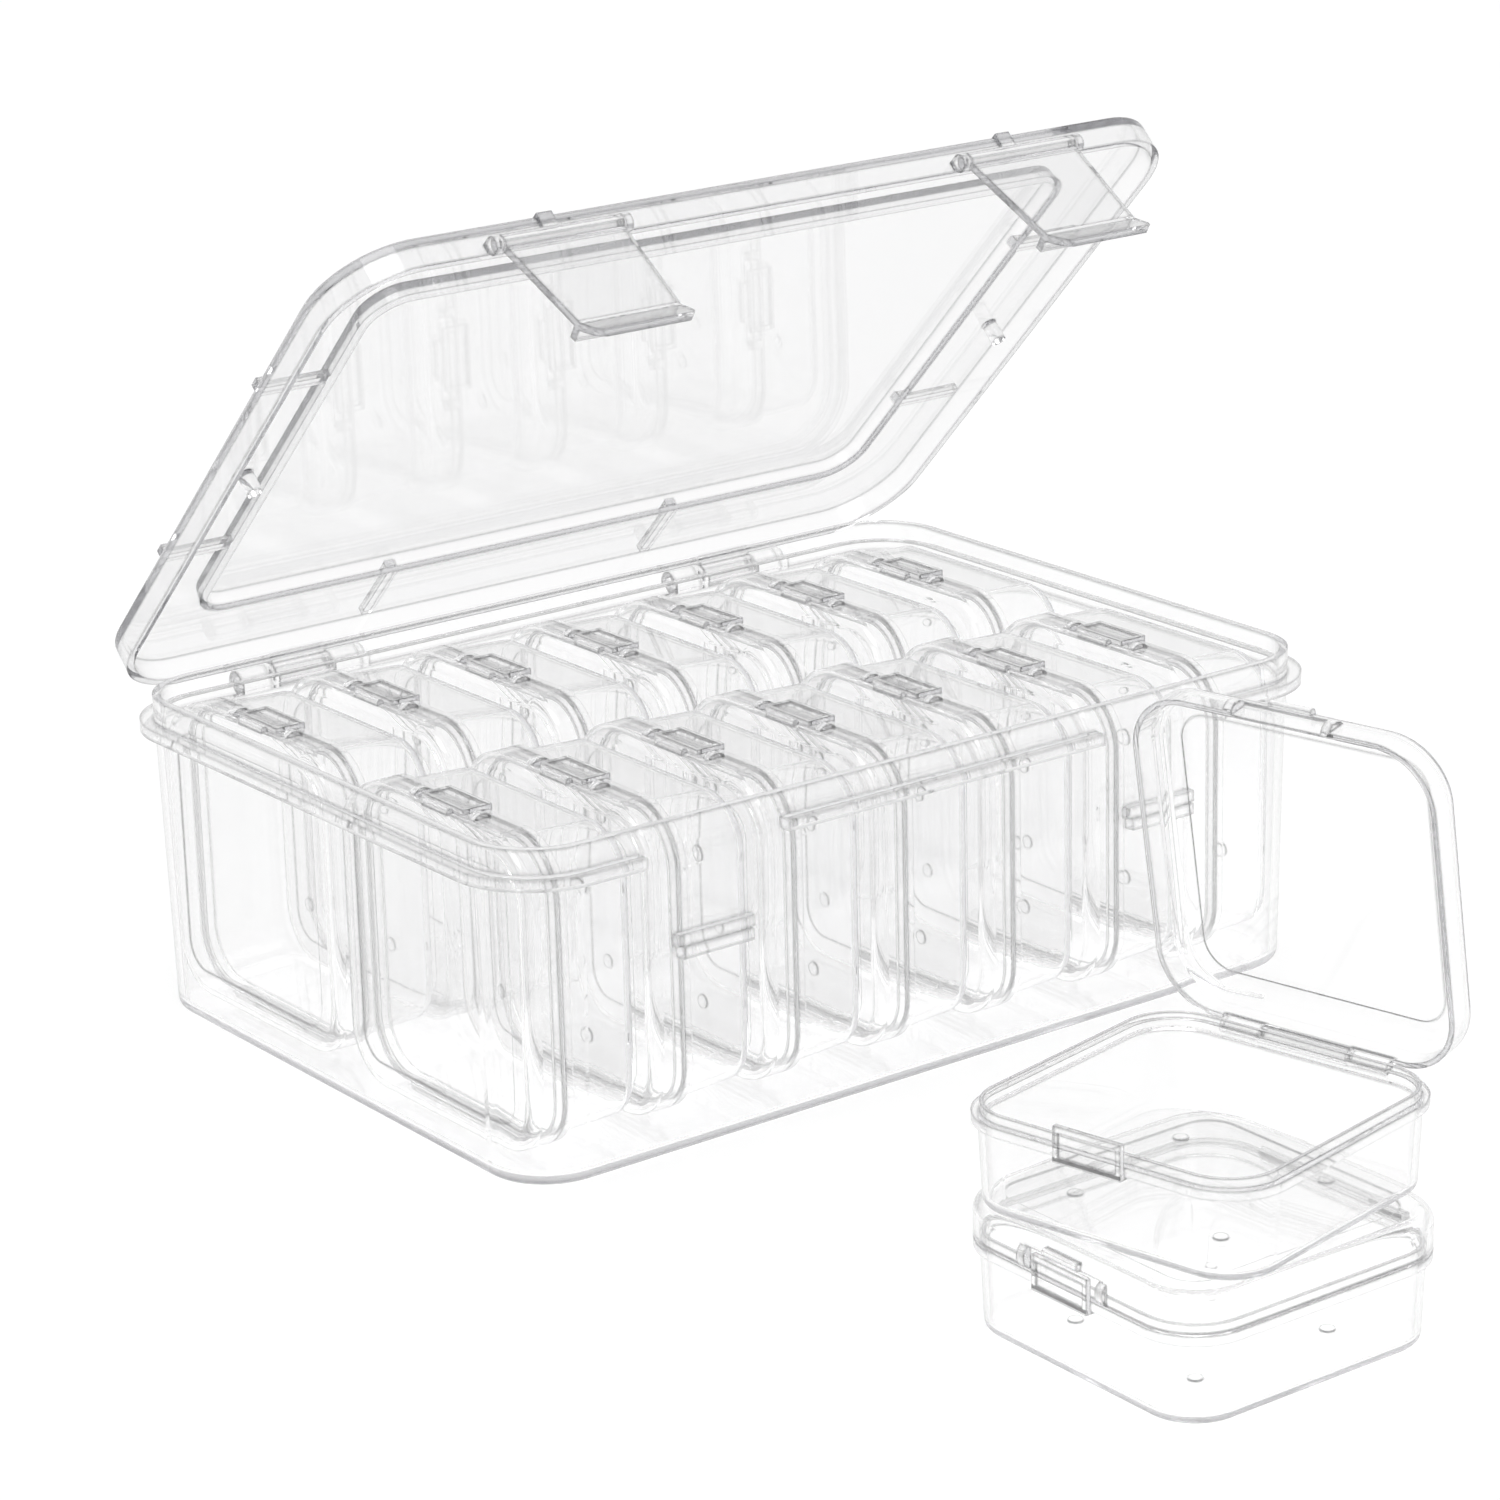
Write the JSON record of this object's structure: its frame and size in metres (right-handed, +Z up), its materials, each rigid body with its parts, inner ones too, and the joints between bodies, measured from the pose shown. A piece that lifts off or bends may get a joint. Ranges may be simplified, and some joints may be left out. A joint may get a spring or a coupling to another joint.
{
  "type": "bead storage box",
  "caption": "Clear hinged case with swinging front latches, holding square snap-lid boxes on edge for beads and small parts.",
  "frame": {"origin": "middle of the case's flat bottom", "axes": "+X along the long front to the right, +Y from the latched front to the hinged rear, +Z up"},
  "size_m": [0.1748, 0.2584, 0.1478],
  "materials": {
    "tub_plastic": "clear polished plastic",
    "lid_plastic": "clear polished plastic",
    "latch_plastic": "clear polished plastic",
    "box_plastic": "clear polished plastic"
  },
  "bodies": {
    "case": {"case_tub": "tub_plastic"},
    "case_lid": {"case_lid": "lid_plastic"},
    "latch_left": {"latch_left": "latch_plastic"},
    "latch_right": {"latch_right": "latch_plastic"},
    "box_front_1": {"box_front_1_base": "box_plastic", "box_front_1_lid": "box_plastic"},
    "box_front_2": {"box_front_2_base": "box_plastic", "box_front_2_lid": "box_plastic"},
    "box_front_3": {"box_front_3_base": "box_plastic", "box_front_3_lid": "box_plastic"},
    "box_front_4": {"box_front_4_base": "box_plastic", "box_front_4_lid": "box_plastic"},
    "box_front_5": {"box_front_5_base": "box_plastic", "box_front_5_lid": "box_plastic"},
    "box_front_6": {"box_front_6_base": "box_plastic", "box_front_6_lid": "box_plastic"},
    "box_front_7": {"box_front_7_base": "box_plastic", "box_front_7_lid": "box_plastic"},
    "box_back_1": {"box_back_1_base": "box_plastic", "box_back_1_lid": "box_plastic"},
    "box_back_2": {"box_back_2_base": "box_plastic", "box_back_2_lid": "box_plastic"},
    "box_back_3": {"box_back_3_base": "box_plastic", "box_back_3_lid": "box_plastic"},
    "box_back_4": {"box_back_4_base": "box_plastic", "box_back_4_lid": "box_plastic"},
    "box_back_5": {"box_back_5_base": "box_plastic", "box_back_5_lid": "box_plastic"},
    "box_back_6": {"box_back_6_base": "box_plastic", "box_back_6_lid": "box_plastic"},
    "box_back_7": {"box_back_7_base": "box_plastic", "box_back_7_lid": "box_plastic"},
    "loose_lower": {"loose_lower_base": "box_plastic", "loose_lower_lid": "box_plastic"},
    "loose_upper": {"loose_upper_base": "box_plastic"},
    "loose_upper_lid": {"loose_upper_lid": "box_plastic"}
  },
  "joints": [
    {"name": "case_lid_hinge", "type": "hinge", "parent": "case", "child": "case_lid", "pos_m": [0, 0.0644, 0.0523], "axis": [-1, 0, 0], "range_deg": [-45.5, 134.5]},
    {"name": "latch_left_hinge", "type": "hinge", "parent": "case_lid", "child": "latch_left", "pos_m": [-0.0475, -0.02431, 0.14486], "axis": [-1, 0, 0], "range_deg": [-15, 95]},
    {"name": "latch_right_hinge", "type": "hinge", "parent": "case_lid", "child": "latch_right", "pos_m": [0.0475, -0.02431, 0.14486], "axis": [-1, 0, 0], "range_deg": [-15, 95]},
    {"name": "box_front_1_lift", "type": "slide", "parent": "case", "child": "box_front_1", "axis": [0, 0, 1], "range_m": [0, 0.058]},
    {"name": "box_front_2_lift", "type": "slide", "parent": "case", "child": "box_front_2", "axis": [0, 0, 1], "range_m": [0, 0.058]},
    {"name": "box_front_3_lift", "type": "slide", "parent": "case", "child": "box_front_3", "axis": [0, 0, 1], "range_m": [0, 0.058]},
    {"name": "box_front_4_lift", "type": "slide", "parent": "case", "child": "box_front_4", "axis": [0, 0, 1], "range_m": [0, 0.058]},
    {"name": "box_front_5_lift", "type": "slide", "parent": "case", "child": "box_front_5", "axis": [0, 0, 1], "range_m": [0, 0.058]},
    {"name": "box_front_6_lift", "type": "slide", "parent": "case", "child": "box_front_6", "axis": [0, 0, 1], "range_m": [0, 0.058]},
    {"name": "box_front_7_lift", "type": "slide", "parent": "case", "child": "box_front_7", "axis": [0, 0, 1], "range_m": [0, 0.058]},
    {"name": "box_back_1_lift", "type": "slide", "parent": "case", "child": "box_back_1", "axis": [0, 0, 1], "range_m": [0, 0.008]},
    {"name": "box_back_2_lift", "type": "slide", "parent": "case", "child": "box_back_2", "axis": [0, 0, 1], "range_m": [0, 0.008]},
    {"name": "box_back_3_lift", "type": "slide", "parent": "case", "child": "box_back_3", "axis": [0, 0, 1], "range_m": [0, 0.008]},
    {"name": "box_back_4_lift", "type": "slide", "parent": "case", "child": "box_back_4", "axis": [0, 0, 1], "range_m": [0, 0.008]},
    {"name": "box_back_5_lift", "type": "slide", "parent": "case", "child": "box_back_5", "axis": [0, 0, 1], "range_m": [0, 0.008]},
    {"name": "box_back_6_lift", "type": "slide", "parent": "case", "child": "box_back_6", "axis": [0, 0, 1], "range_m": [0, 0.008]},
    {"name": "box_back_7_lift", "type": "slide", "parent": "case", "child": "box_back_7", "axis": [0, 0, 1], "range_m": [0, 0.008]},
    {"name": "loose_lower_lift", "type": "slide", "parent": "case", "child": "loose_lower", "axis": [0, 0, 1], "range_m": [0, 0.06]},
    {"name": "loose_upper_lift", "type": "slide", "parent": "loose_lower", "child": "loose_upper", "axis": [0, 0, 1], "range_m": [0, 0.06]},
    {"name": "loose_upper_lid_hinge", "type": "hinge", "parent": "loose_upper", "child": "loose_upper_lid", "pos_m": [-0.00749, -0.15487, 0.03595], "axis": [-0.2079, 0.9781, 0], "range_deg": [-80, 100]}
  ]
}
